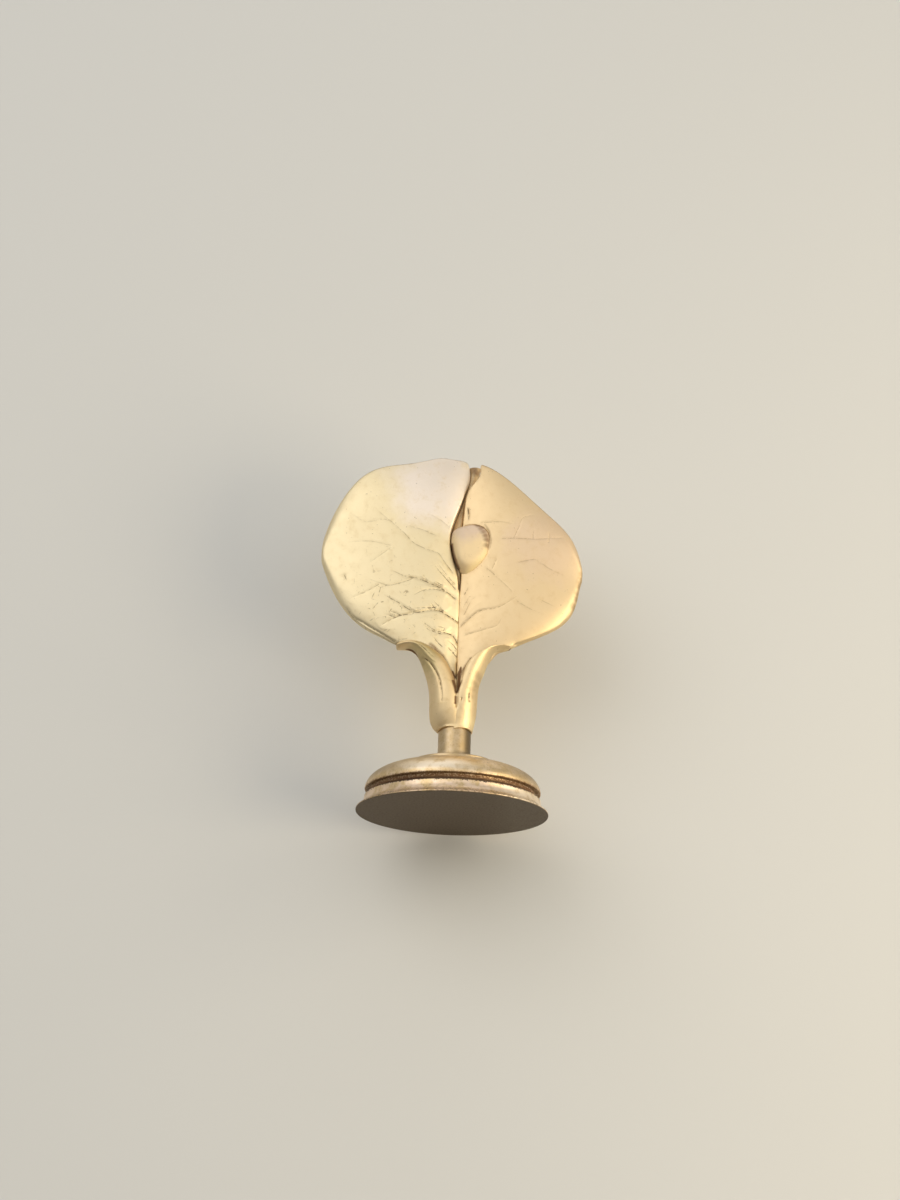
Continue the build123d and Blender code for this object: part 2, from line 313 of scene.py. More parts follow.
class Sheet:  # the node tree of a material or the world
    def __init__(self, owner):
        owner.use_nodes = True
        self.tree = owner.node_tree
        self.tree.nodes.clear()

    def plug(self, socket, value):
        if isinstance(value, Wire):
            self.tree.links.new(value.socket, socket)
        else:
            socket.default_value = value

    def node(self, kind, settings={}, sockets={}, out=0):
        made = self.tree.nodes.new(kind)
        for key, value in settings.items():
            setattr(made, key, value)
        for key, value in sockets.items():
            self.plug(made.inputs[key], value)
        return Wire(self, made.outputs[out]) if made.outputs else made

    def noise(self, where, scale, detail=2.0, roughness=0.5):
        sockets = {"Vector": where, "Scale": scale, "Detail": detail, "Roughness": roughness}
        return self.node("ShaderNodeTexNoise", {}, sockets)

    def ramp(self, value, low, high):  # 0 below low, 1 above high, smooth between
        return self.node("ShaderNodeMapRange", {"interpolation_type": "SMOOTHSTEP"},
                         {"Value": value, "From Min": low, "From Max": high})

    def past(self, place, low, high):  # the same between two places given in mm
        return self.ramp(place, low * mm, high * mm)

    def blend(self, first, second, share):
        return self.node("ShaderNodeMix", {"data_type": "RGBA", "clamp_factor": True},
                         {0: share, 6: first, 7: second}, out=2)

    def objectPlace(self):
        return self.node("ShaderNodeTexCoord", out=3)

    def value(self, name):  # a value kept on the piece's points
        return self.node("ShaderNodeAttribute", {"attribute_name": name}, out=2)

    def away(self, where, x, y, z):  # distance from a place given in mm
        return self.node("ShaderNodeVectorMath", {"operation": "DISTANCE"},
                         {0: where, 1: (x * mm, y * mm, z * mm)}, out=1)

    def part(self, where, axis):
        return self.node("ShaderNodeSeparateXYZ", {}, {0: where}, out="XYZ".index(axis))


def colour(red, green, blue):
    return (red, green, blue, 1.0)


def metalFinish(name, sheetWork):  # a material whose sheet gives colour, roughness, metal and relief
    material = bpy.data.materials.new(name)
    sheet = Sheet(material)
    look = sheetWork(sheet)
    bump = sheet.node("ShaderNodeBump", {}, {"Strength": look["bumpStrength"],
                                             "Distance": look["bumpDepth"] * mm, "Height": look["height"]})
    shader = sheet.node("ShaderNodeBsdfPrincipled", {}, {"Base Color": look["colour"], "Normal": bump,
                                                         "Roughness": look["roughness"],
                                                         "Metallic": look["metal"]})
    sheet.node("ShaderNodeOutputMaterial", {}, {"Surface": shader})
    return material


# Finishes

# patina colours, also laid as painted shade
patinaAndShadeBrown = colour(0.085, 0.045, 0.018)
patinaAndShadeRed = colour(0.19, 0.085, 0.030)
# a painted highlight colour, laid where the warm lamps' highlights fall
highlightGold = colour(0.95, 0.80, 0.48)
# The second colour of each gilding is painted light laid round its place: a painted reflection of cool light
# on the left half and on the bud's top, painted shade near the right half's upper right edge and on the
# sheath's left lip.
giltLeft = {
    "gold": colour(0.81, 0.69, 0.45), "paintedLighting": colour(0.88, 0.78, 0.67), "worn": colour(0.70, 0.56, 0.32),
    "paintedLightingPlace": (-3.0, -1.0, 46.0), "paintedLightingReach": 9.5, "matte": 0.0,
}
giltRight = {
    "gold": colour(0.775, 0.60, 0.36), "paintedLighting": colour(0.76, 0.585, 0.39), "worn": colour(0.68, 0.50, 0.28),
    "paintedLightingPlace": (12.0, -1.0, 38.0), "paintedLightingReach": 8.0, "matte": 0.0,
}
giltBud = {
    "gold": colour(0.84, 0.67, 0.41), "paintedLighting": colour(0.72, 0.57, 0.43), "worn": colour(0.64, 0.48, 0.28),
    "paintedLightingPlace": (1.8, -1.5, 40.0), "paintedLightingReach": 4.5, "matte": 0.85,
}
giltSheath = {
    "gold": colour(0.78, 0.61, 0.36), "paintedLighting": colour(0.60, 0.48, 0.25), "worn": colour(0.58, 0.43, 0.21),
    "paintedLightingPlace": (-4.5, -2.0, 20.5), "paintedLightingReach": 4.0, "matte": 0.0,
}
wear = {  # of all the gilding, each noise with its scale, detail and roughness
    "cloudNoise": (240, 4, 0.55), "patchNoise": (900, 5, 0.65), "breakNoise": (2300, 3, 0.6),
    "grainNoise": (7000, 3, 0.6), "speckNoise": (3300, 1),
    "paintedLightingWander": 8, "paintedLightingCore": 0.35,
    "wornPatches": (0.50, 0.80), "wornShare": 0.45,
    "lineWobble": 0.10, "lineEdge": (0.015, 0.075), "lineBreaks": (0.36, 0.52),
    "haloEdge": (0.02, 0.40), "haloPatches": (0.46, 0.70), "haloShare": 0.2,
    "crackScale": 620.0, "crackEdge": (0.012, 0.045), "crackBreaks": (1.02, 1.22),
    "speckEdge": (0.76, 0.80), "speckShare": 0.4,
    "patinaAndShadeEdge": (0.10, 0.75), "patinaAndShadeShare": 0.9,
    "roughness": 0.42, "matteRoughness": 0.2, "patchRoughness": 0.18, "darkeningRoughness": 0.2,
    "matteDulling": 0.7, "darkeningDulling": 0.3,
    "grainRelief": 0.6, "patchRelief": 1.6, "darkeningRelief": 1.5, "bumpStrength": 0.34, "bumpDepth": 0.04,
}


def giltFinish(name, gilt):
    def work(sheet):
        where = sheet.objectPlace()
        side = abs(sheet.value("lineSide"))
        ink = sheet.value("lineInk")
        cloud = sheet.noise(where, *wear["cloudNoise"])
        patches = sheet.noise(where, *wear["patchNoise"])
        broken = sheet.noise(where, *wear["breakNoise"])
        grain = sheet.noise(where, *wear["grainNoise"])
        # painted light: the second colour fades in round its place, with a wandering edge
        wander = (cloud - 0.5) * wear["paintedLightingWander"] * mm
        paintedLighting = 1 - sheet.past(sheet.away(where, *gilt["paintedLightingPlace"]) + wander,
                               gilt["paintedLightingReach"] * wear["paintedLightingCore"], gilt["paintedLightingReach"])
        base = sheet.blend(gilt["gold"], gilt["paintedLighting"], paintedLighting)
        base = sheet.blend(base, gilt["worn"], sheet.ramp(patches, *wear["wornPatches"]) * wear["wornShare"])
        # painted highlight: the lighter gold comes in where the kept highlight value says
        base = sheet.blend(base, highlightGold, sheet.value("paintedHighlight"))
        hairline = 1 - sheet.ramp(side - (broken - 0.5) * wear["lineWobble"], *wear["lineEdge"])
        hairline = hairline * ink * sheet.ramp(broken, *wear["lineBreaks"])
        halo = (1 - sheet.ramp(side, *wear["haloEdge"])) * ink
        halo = halo * sheet.ramp(patches, *wear["haloPatches"]) * wear["haloShare"]
        cells = sheet.node("ShaderNodeTexVoronoi", {"feature": "DISTANCE_TO_EDGE"},
                           {"Vector": where, "Scale": wear["crackScale"], "Randomness": 1.0})
        network = 1 - sheet.ramp(cells, *wear["crackEdge"])
        network = network * sheet.ramp(broken + patches, *wear["crackBreaks"]) * sheet.value("frayed")
        specks = sheet.ramp(sheet.noise(where, *wear["speckNoise"]), *wear["speckEdge"])
        # the kept value holds patina and painted shade: shade in cracks, where pieces meet, on rims that face
        # upwards and beside the bud
        patinaAndShadeMark = sheet.ramp(sheet.value("patinaAndShade") * (patches + 0.5), *wear["patinaAndShadeEdge"])
        clean = (1 - hairline) * (1 - halo) * (1 - network) * (1 - specks * wear["speckShare"])
        # the darkening gathers hairlines, halos, cracks and specks, and the patina and painted shade of the
        # kept value
        darkening = 1 - clean * (1 - patinaAndShadeMark * wear["patinaAndShadeShare"])
        base = sheet.blend(base, sheet.blend(patinaAndShadeBrown, patinaAndShadeRed, patinaAndShadeMark), darkening)
        smoothest = wear["roughness"] + wear["matteRoughness"] * gilt["matte"]
        brightest = 1 - wear["matteDulling"] * gilt["matte"]
        relief = grain * wear["grainRelief"] + patches * wear["patchRelief"] - darkening * wear["darkeningRelief"]
        return {"colour": base, "metal": brightest - darkening * wear["darkeningDulling"],
                "roughness": smoothest + patches * wear["patchRoughness"] + darkening * wear["darkeningRoughness"],
                "height": relief, "bumpStrength": wear["bumpStrength"], "bumpDepth": wear["bumpDepth"]}
    return metalFinish(name, work)


bronze = {
    "gold": colour(0.66, 0.49, 0.27), "pale": colour(0.80, 0.64, 0.44), "dull": colour(0.42, 0.29, 0.15),
    "pink": colour(0.82, 0.64, 0.50), "dark": colour(0.045, 0.022, 0.010), "paintedShade": colour(0.30, 0.22, 0.12),
    "shine": colour(0.93, 0.80, 0.62), "shade": colour(0.13, 0.095, 0.05), "faceShade": colour(0.09, 0.068, 0.045),
    "patchNoise": (700, 4, 0.6), "speckNoise": (3600, 2, 0.6), "fleckNoise": (5200, 1),
    "rings": {"Scale": 900.0, "Distortion": 0.6, "Detail": 2.0},
    "shineLeft": 2.5, "speckRagged": 0.9, "patchRagged": 0.4,  # shifts in mm
    "palePatches": (0.40, 0.70), "dullSpecks": (0.52, 0.72), "dullShare": 0.55,
    "pinkPatches": (0.35, 0.60), "pinkShare": 0.8, "pitSpecks": (0.42, 0.68), "pitShare": 0.6,
    "grooveDarkening": 0.8, "patchDarkening": 0.3,
    "fleckEdge": (0.54, 0.62), "fleckShare": 0.75, "shinePatches": (0.25, 0.55), "rimShine": 0.8,
    "paintedShadeTop": 0.6, "paintedShadeShare": 0.75, "shadeShare": 0.85, "faceShadeShare": 0.9,
    "roughness": 0.34, "patchRoughness": 0.14, "faceShadeRoughness": 0.2, "darkeningRoughness": 0.2,
    "darkeningDulling": 0.6, "faceShadeDulling": 0.3, "ringRelief": 0.25, "bumpStrength": 0.3, "bumpDepth": 0.02,
}
zones = {  # of the bronze, from and to in mm: heights, and for the last four places to the right
    "face": (0.06, 0.15), "lowRimShade": (0.1, 1.0), "pits": (0.25, 1.0), "dieBand": (1.7, 1.9),
    "grooveStart": (1.75, 1.95), "grooveDark": (2.0, 2.6), "grooveFlecks": (2.2, 2.8),
    "grooveEnd": (2.65, 3.1),
    "dome": (2.8, 4.3), "domeTop": (4.6, 6.2), "shineStart": (3.1, 3.5), "shineEnd": (4.2, 5.4),
    "neck": (6.6, 7.2), "domeSides": (5.0, 11.0), "shineSides": (1.0, 6.0), "rimRight": (4.0, 9.0),
    "neckRight": (0.4, 1.6),
}


def bronzeFinish(name):
    def work(sheet):
        where = sheet.objectPlace()
        height = sheet.part(where, "Z")
        right = sheet.part(where, "X")
        patches = sheet.noise(where, *bronze["patchNoise"])
        specks = sheet.noise(where, *bronze["speckNoise"])
        rings = sheet.node("ShaderNodeTexWave", {"wave_type": "RINGS", "rings_direction": "Z"},
                           {"Vector": where, **bronze["rings"]})
        base = sheet.blend(bronze["gold"], bronze["pale"], sheet.ramp(patches, *bronze["palePatches"]))
        specked = sheet.ramp(specks, *bronze["dullSpecks"])
        base = sheet.blend(base, bronze["dull"], specked * bronze["dullShare"])
        band = 1 - sheet.past(height, *zones["dieBand"])
        pink = band * sheet.ramp(patches, *bronze["pinkPatches"]) * bronze["pinkShare"]
        base = sheet.blend(base, bronze["pink"], pink)
        # painted shade: darker towards the die's lower edge
        lowRimShade = 1 - sheet.past(height, *zones["lowRimShade"])
        base = sheet.blend(base, bronze["dull"], bronze["dullShare"] * lowRimShade)

        pitted = band * (1 - sheet.past(height, *zones["pits"])) * sheet.ramp(specks, *bronze["pitSpecks"])
        ragged = height + (specks - 0.5) * bronze["speckRagged"] * mm
        ragged = ragged + (patches - 0.5) * bronze["patchRagged"] * mm
        # darker in the groove, deepest in its lower part
        groove = sheet.past(ragged, *zones["grooveStart"]) * (1 - sheet.past(ragged, *zones["grooveEnd"]))
        flecks = sheet.ramp(sheet.noise(where, *bronze["fleckNoise"]), *bronze["fleckEdge"])
        flecks = flecks * sheet.past(height, *zones["grooveFlecks"])
        darkening = groove * (bronze["grooveDarkening"] + patches * bronze["patchDarkening"])
        darkening = darkening * (1 - flecks * bronze["fleckShare"]) + pitted * bronze["pitShare"]
        deep = 1 - sheet.past(height, *zones["grooveDark"])
        base = sheet.blend(base, sheet.blend(patinaAndShadeRed, bronze["dark"], deep), darkening)

        # painted shade on the dome's sides and on its upper part, where it turns from the light
        turned = sheet.past(abs(right), *zones["domeSides"])
        turned = turned + sheet.past(height, *zones["domeTop"]) * bronze["paintedShadeTop"]
        paintedShade = sheet.past(height, *zones["dome"]) * turned * bronze["paintedShadeShare"]
        base = sheet.blend(base, bronze["paintedShade"], paintedShade)
        # painted highlight on the dome just above the groove, and on the die's band to the right
        shine = 1 - sheet.past(abs(right + bronze["shineLeft"] * mm), *zones["shineSides"])
        shine = shine * sheet.past(height, *zones["shineStart"])
        shine = shine * (1 - sheet.past(height, *zones["shineEnd"]))
        shine = shine + sheet.past(right, *zones["rimRight"]) * band * bronze["rimShine"]
        shine = shine * sheet.ramp(patches, *bronze["shinePatches"]) * (1 - darkening)
        base = sheet.blend(base, bronze["shine"], shine)
        shade = sheet.past(height, *zones["neck"]) * sheet.past(right, *zones["neckRight"])
        base = sheet.blend(base, bronze["shade"], shade * bronze["shadeShare"])
        # painted shade on the seal's face, which looks down away from the lamps
        faceShade = 1 - sheet.past(height, *zones["face"])
        base = sheet.blend(base, bronze["faceShade"], faceShade * bronze["faceShadeShare"])

        rough = bronze["roughness"] + patches * bronze["patchRoughness"]
        return {"colour": base, "metal": 1 - darkening * bronze["darkeningDulling"] - faceShade * bronze["faceShadeDulling"],
                "roughness": rough + faceShade * bronze["faceShadeRoughness"] + darkening * bronze["darkeningRoughness"],
                "height": specks + rings * bronze["ringRelief"],
                "bumpStrength": bronze["bumpStrength"], "bumpDepth": bronze["bumpDepth"]}
    return metalFinish(name, work)


screwBrass = {
    "bright": colour(0.72, 0.55, 0.27), "worn": colour(0.46, 0.33, 0.15), "patchNoise": (1200, 3),
    "wornPatches": (0.45, 0.75), "roughness": 0.28, "patchRoughness": 0.14,
    "bumpStrength": 0.1, "bumpDepth": 0.01,
}


def studFinish(name):
    def work(sheet):
        patches = sheet.noise(sheet.objectPlace(), *screwBrass["patchNoise"])
        worn = sheet.ramp(patches, *screwBrass["wornPatches"])
        return {"colour": sheet.blend(screwBrass["bright"], screwBrass["worn"], worn), "metal": 1.0,
                "roughness": screwBrass["roughness"] + patches * screwBrass["patchRoughness"],
                "height": patches, "bumpStrength": screwBrass["bumpStrength"],
                "bumpDepth": screwBrass["bumpDepth"]}
    return metalFinish(name, work)


leftGilt = giltFinish("leaf gilding, left", giltLeft)
rightGilt = giltFinish("leaf gilding, right", giltRight)
budGilt = giltFinish("bud gilding", giltBud)
sheathGilt = giltFinish("sheath gilding", giltSheath)
turnedBronze = bronzeFinish("turned bronze")
studBrass = studFinish("stud brass")
print("finishes made")


# Turned pieces

die = {
    "land": 0.25, "height": 1.9, "topRadius": 11.45, "coveDepth": 0.35, "covePull": 0.75, "coveSteps": 12,
    "bossRadius": 3.5, "boreRadius": 1.55, "boreFloor": 0.8, "softEdge": 0.06,
}
washer = {"bore": 3.7, "softEdge": 0.04}
foot = {
    "edge": 0.25, "crownLift": 0.3, "domeBottom": 2.8, "domeTop": 6.3, "domeStart": (-0.2, 1),
    "domeEnd": (-1, 0.12), "domeSteps": 28, "crownRadius": 5.3, "rabbetRadius": 10.7, "counterRadius": 3.65,
    "counterTop": 4.4, "recessRadius": 2.08, "recessFloor": 5.25, "boreRadius": 1.53, "softEdge": 0.1,
}
neck = {
    "baseRadius": 2.85, "shaftRadius": 2.15, "flare": 1.7, "flareStart": (-0.6, 0.8), "flareEnd": (0, 1),
    "flareSteps": 14, "baseHeight": 6.55, "top": 11.5, "spigotRadius": 1.6, "tenonRadius": 2.05,
    "boreRadius": 1.5, "boreTop": 9.85, "softEdge": 0.05,
}
stud = {"pitch": 0.5, "depth": 0.3, "crest": (0.44, 0.56), "segments": 48, "smoothAngle": 30}


def sizes(node):  # outer radius, lowest and highest height of a turned node, in mm
    low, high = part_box(node)
    return high.x / mm, low.z / mm, high.z / mm


def makeDie():
    radius, low, high = sizes("seal_die")
    start, end = Vector((radius, die["land"], 0)), Vector((die["topRadius"], die["height"], 0))
    middle = Vector(((radius + die["topRadius"]) / 2 - die["coveDepth"],
                     (die["land"] + die["height"]) / 2 - die["coveDepth"] / 2, 0))
    pull = middle + (middle - (start + end) / 2) / 3  # both handles of the cove lie on the way here
    handles = [spot.lerp(pull, die["covePull"]) for spot in (start, end)]
    cove = interpolate_bezier(start, *handles, end, die["coveSteps"])
    outline = [(0, die["boreFloor"]), (die["boreRadius"], die["boreFloor"]), (die["boreRadius"], high),
               (die["bossRadius"], high), (die["bossRadius"], die["height"]),
               *((p.x, p.y) for p in reversed(cove)), (radius, low), (0, low)]
    return turnedPiece("sealDie", outline, die["softEdge"])


def makeWasher():
    radius, low, high = sizes("die_washer")
    bore = washer["bore"]
    outline = [(bore, low), (radius, low), (radius, high), (bore, high), (bore, low)]
    return turnedPiece("grooveWasher", outline, washer["softEdge"])


def makeFoot():
    radius, low, high = sizes("foot")
    crown = high + foot["crownLift"]
    dome = bezier((radius, foot["domeBottom"] + foot["edge"]), foot["domeStart"],
                  (foot["crownRadius"], foot["domeTop"]), foot["domeEnd"], foot["domeSteps"])
    outline = [(foot["boreRadius"], foot["counterTop"]), (foot["counterRadius"], foot["counterTop"]),
               (foot["counterRadius"], low), (foot["rabbetRadius"], low),
               (foot["rabbetRadius"], foot["domeBottom"]), (radius, foot["domeBottom"]), *dome,
               (foot["crownRadius"], crown), (foot["recessRadius"], crown),
               (foot["recessRadius"], foot["recessFloor"]), (foot["boreRadius"], foot["recessFloor"]),
               (foot["boreRadius"], foot["counterTop"])]
    return turnedPiece("domedFoot", outline, foot["softEdge"])


def makeNeck():
    _, low, high = sizes("neck")
    flare = bezier((neck["baseRadius"], neck["baseHeight"]), neck["flareStart"],
                   (neck["shaftRadius"], neck["baseHeight"] + neck["flare"]), neck["flareEnd"],
                   neck["flareSteps"])
    outline = [(0, neck["boreTop"]), (neck["boreRadius"], neck["boreTop"]), (neck["boreRadius"], low),
               (neck["tenonRadius"], low), (neck["tenonRadius"], neck["baseHeight"]), *flare,
               (neck["shaftRadius"], neck["top"]), (neck["spigotRadius"], neck["top"]),
               (neck["spigotRadius"], high), (0, high)]
    return turnedPiece("turnedNeck", outline, neck["softEdge"])


def makeStud():  # a V thread wound up the stud and cut off square at both ends
    radius, low, high = sizes("stud")
    pitch = stud["pitch"]
    rootRadius = radius - stud["depth"]
    start = low - pitch
    crestStart, crestEnd = (start + share * pitch for share in stud["crest"])
    outline = [(rootRadius, start), (radius, crestStart), (radius, crestEnd), (rootRadius, start + pitch)]
    piece = drawOutline("screwStud", outline)
    bpy.ops.object.mode_set(mode="OBJECT")
    turns = int((high - low) / pitch) + 2  # one more at each end, to cut off
    shapeWith(piece, "SCREW", axis="Z", angle=2 * math.pi, screw_offset=pitch * mm, iterations=turns,
              steps=stud["segments"], render_steps=stud["segments"], use_merge_vertices=True)
    bpy.ops.object.mode_set(mode="EDIT")
    bpy.ops.mesh.select_all(action="SELECT")
    bpy.ops.mesh.remove_doubles(threshold=mergeWithin)
    for height, upward in ((low, -1), (high, 1)):
        bpy.ops.mesh.select_all(action="SELECT")
        bpy.ops.mesh.bisect(plane_co=(0, 0, height * mm), plane_no=(0, 0, upward), use_fill=True,
                            clear_outer=True)
    bpy.ops.mesh.select_all(action="SELECT")
    bpy.ops.mesh.normals_make_consistent(inside=False)
    bpy.ops.object.mode_set(mode="OBJECT")
    bpy.ops.object.shade_smooth_by_angle(angle=math.radians(stud["smoothAngle"]))
    return piece


place(makeDie(), "die", "turned_bronze", turnedBronze, "seal_die")
place(makeWasher(), "washer", "turned_bronze", turnedBronze, "die_washer")
place(makeFoot(), "handle", "turned_bronze", turnedBronze, "foot")
place(makeNeck(), "handle", "turned_bronze", turnedBronze, "neck")
place(makeStud(), "handle", "stud_brass", studBrass, "stud")
print("turned pieces made")


# Leaf, bud and sheath

def vein(depth, stain, *points, width=0.13):
    return {"depth": depth, "stain": stain, "width": width, "points": points}


leafSeam = {"below": 30.0, "fade": 2.5, "within": 0.45, "shift": 0.11}
leafLeft = {
    "voxel": 0.13, "softening": 8, "tips": {"beyond": 17.0, "fade": 1.2, "rounds": 60},
    "nudges": ((-1.5, 50.2, 1.3, 2.0, (0, 0, -0.25)), (-8.8, 22.2, 1.6, 1.4, (0, 0, -0.35))),
    "paintedShade": 0.5, "contactShade": 0.16, "budShade": {"height": 37.6, "fade": 1.2},
    "frayed": ((-9.5, 28.0, 6.0, 0.55),),  # where fine cracks join the veins
    "stainsAndShades": (
        *trail(0.35, 0.55, (-3.6, 22.7), (-2.6, 21.9), (-1.6, 20.7), (-1.1, 19.7), (-0.5, 18.8)),
        *trail(0.6, 1.0, (-0.1, 17.4), (0.0, 16.7), (0.0, 15.8), (0.0, 14.2)),
        # painted shade in the crack left of the bud
        *trail(0.15, 1.0, (-1.35, 38.4), (-1.1, 37.4), (-0.75, 35.9), (-0.45, 34.4), (-0.2, 32.8),
               (-0.1, 31.0)),
    ),
    "cuts": (
        vein(0.06, 0.40, (-1.1, 33.3), (-2.2, 34.6), (-3.1, 35.7), (-4.6, 36.1), (-6.4, 36.9), (-8.0, 38.5),
             (-11.0, 41.0)),
        vein(0.06, 0.75, (-0.7, 31.0), (-1.7, 32.0), (-2.8, 33.1), (-3.3, 33.7)),
        vein(0.04, 0.55, (-0.8, 31.7), (-1.9, 32.8), (-2.9, 34.0)),
        vein(0.12, 0.90, (-0.6, 29.6), (-1.5, 30.2), (-2.4, 30.7), (-4.0, 31.3), (-5.8, 31.9), (-7.4, 32.1),
             (-8.7, 32.6)),
        vein(0.04, 0.75, (-2.5, 31.2), (-3.1, 31.5)),
        vein(0.06, 0.75, (-4.3, 31.6), (-4.9, 32.3)),
        vein(0.06, 0.60, (-1.5, 30.2), (-2.4, 30.4), (-3.6, 30.5), (-4.9, 30.2), (-6.0, 29.5)),
        vein(0.13, 1.00, (0.0, 26.3), (-1.2, 26.9), (-2.5, 27.5), (-3.9, 27.5), (-5.9, 27.1), (-8.1, 28.3),
             (-9.8, 29.2)),
        vein(0.05, 0.70, (-2.1, 27.6), (-3.3, 28.7)),
        vein(0.05, 0.65, (-3.2, 27.8), (-3.7, 28.4)),
        vein(0.07, 0.90, (-3.2, 27.9), (-4.5, 27.8), (-5.9, 27.6)),
        vein(0.10, 0.70, (-6.1, 26.9), (-7.7, 26.5), (-8.8, 26.0), (-10.1, 25.2)),
        vein(0.07, 0.90, (-7.7, 26.5), (-8.3, 26.8), (-9.0, 27.0)),
        vein(0.07, 0.90, (-8.4, 26.2), (-9.6, 26.6)),
        vein(0.12, 1.00, (0.0, 23.4), (-0.7, 24.3), (-1.4, 24.5), (-2.1, 24.6), (-3.2, 24.8), (-4.7, 25.7)),
        vein(0.06, 0.90, (-2.4, 24.3), (-3.1, 24.5), (-3.9, 24.7), (-4.4, 25.1)),
        vein(0.05, 0.80, (-2.0, 24.7), (-1.9, 25.2), (-2.8, 25.3)),
        vein(0.08, 0.90, (0.0, 21.4), (-0.4, 21.7), (-1.1, 22.4)),
        vein(0.05, 0.80, (-0.5, 21.9), (-1.4, 22.6)),
        vein(0.05, 0.80, (-2.1, 22.6), (-2.7, 23.1), (-3.2, 23.7)),
        vein(0.05, 0.70, (-0.2, 22.5), (-0.6, 23.0), (-1.2, 23.4)),
        vein(0.06, 0.90, (0.0, 19.8), (-0.1, 20.6)),
        vein(0.05, 0.30, (-3.6, 38.2), (-5.2, 38.8), (-7.2, 39.3)),
        vein(0.05, 0.25, (-1.8, 39.7), (-3.0, 40.5), (-4.2, 41.1)),
        vein(0.04, 0.22, (-9.4, 39.8), (-10.8, 40.1), (-13.0, 39.7), (-14.8, 40.8)),
        vein(0.06, 0.40, (-6.5, 31.7), (-7.4, 31.3), (-9.3, 30.7), (-10.4, 30.9), (-11.9, 31.4)),
        vein(0.05, 0.30, (-10.9, 30.7), (-12.5, 29.7), (-14.2, 28.9)),
        vein(0.05, 0.50, (-15.3, 31.6), (-15.6, 32.3)),
        vein(0.04, 0.22, (-9.5, 36.0), (-10.6, 35.1), (-12.0, 34.0)),
        vein(0.04, 0.22, (-9.5, 36.4), (-12.2, 36.9), (-14.9, 36.8)),
        vein(0.14, 0.65, (-8.5, 22.9), (-10.0, 23.8), (-11.4, 24.6), (-12.7, 25.4), (-14.2, 26.3),
             (-14.9, 27.4), width=0.2),
    ),
}
leafRight = {
    "voxel": 0.13, "softening": 8, "tips": {"beyond": 14.9, "fade": 1.2, "rounds": 60},
    "nudges": ((5.2, 21.6, 1.6, 0.8, (0, 0, 0.4)),),
    "paintedShade": 0.6, "contactShade": 0.12,
    "stainsAndShades": (
        *trail(0.3, 0.5, (1.8, 21.0), (0.9, 19.6), (0.3, 18.4)),
        *trail(0.6, 1.0, (0.2, 17.4), (0.1, 16.7), (0.1, 15.8), (0.0, 14.2)),
        # painted shade beside the bud's right side, and along the right rim over the warm lamp's highlight
        *trail(0.22, 0.4, (3.1, 40.0), (3.7, 38.9), (3.95, 37.6), (3.8, 36.6)),
        *trail(0.75, 0.38, (16.4, 33.6), (16.05, 31.8), (15.7, 30.1), (15.3, 29.0)),
    ),
    "paintedHighlights": trail(0.8, 0.8, (6.8, 22.3), (9.2, 22.8), (11.6, 23.8), (13.8, 25.3)),
    "cuts": (
        vein(0.12, 1.00, (0.7, 42.4), (0.8, 41.7), (0.85, 40.9)),
        vein(0.05, 0.28, (2.7, 40.3), (5.3, 40.4), (6.6, 40.2)),
        vein(0.05, 0.30, (5.5, 38.0), (7.7, 38.1), (10.1, 38.1), (13.6, 38.6)),
        vein(0.05, 0.30, (7.0, 38.1), (7.7, 39.8), (8.2, 41.1), (9.5, 41.6)),
        vein(0.04, 0.24, (9.6, 38.2), (9.7, 39.5)),
        vein(0.04, 0.24, (11.8, 37.8), (11.9, 39.3)),
        vein(0.05, 0.28, (7.8, 34.7), (9.9, 35.2), (10.5, 34.9), (11.9, 34.0), (13.7, 33.3)),
        vein(0.08, 0.40, (0.3, 25.7), (1.6, 26.9), (2.7, 27.7), (4.8, 28.1), (5.9, 28.6), (7.6, 29.8)),
        vein(0.05, 0.28, (3.6, 33.7), (4.8, 32.6), (6.5, 31.0), (7.1, 30.3)),
        vein(0.05, 0.24, (7.8, 29.1), (9.3, 28.2), (10.9, 27.6)),
        vein(0.04, 0.24, (11.0, 29.4), (12.4, 28.8)),
        vein(0.04, 0.35, (4.7, 34.8), (4.1, 33.3)),
        vein(0.05, 0.28, (1.0, 24.4), (3.2, 25.0), (5.0, 25.6), (5.6, 26.5)),
        vein(0.05, 0.55, (0.6, 30.1), (1.1, 31.0)),
        vein(0.04, 0.45, (0.7, 28.6), (1.1, 29.4)),
        vein(0.04, 0.25, (0.7, 27.3), (1.5, 29.1), (2.0, 29.6)),
        vein(0.14, 0.3, (7.8, 23.0), (9.9, 23.6), (11.9, 24.5), (13.5, 25.7), (14.8, 27.4), width=0.3),
    ),
}
sheathSeam = {"below": 13.3, "fade": 0.4, "within": 0.6, "shift": 0.22}
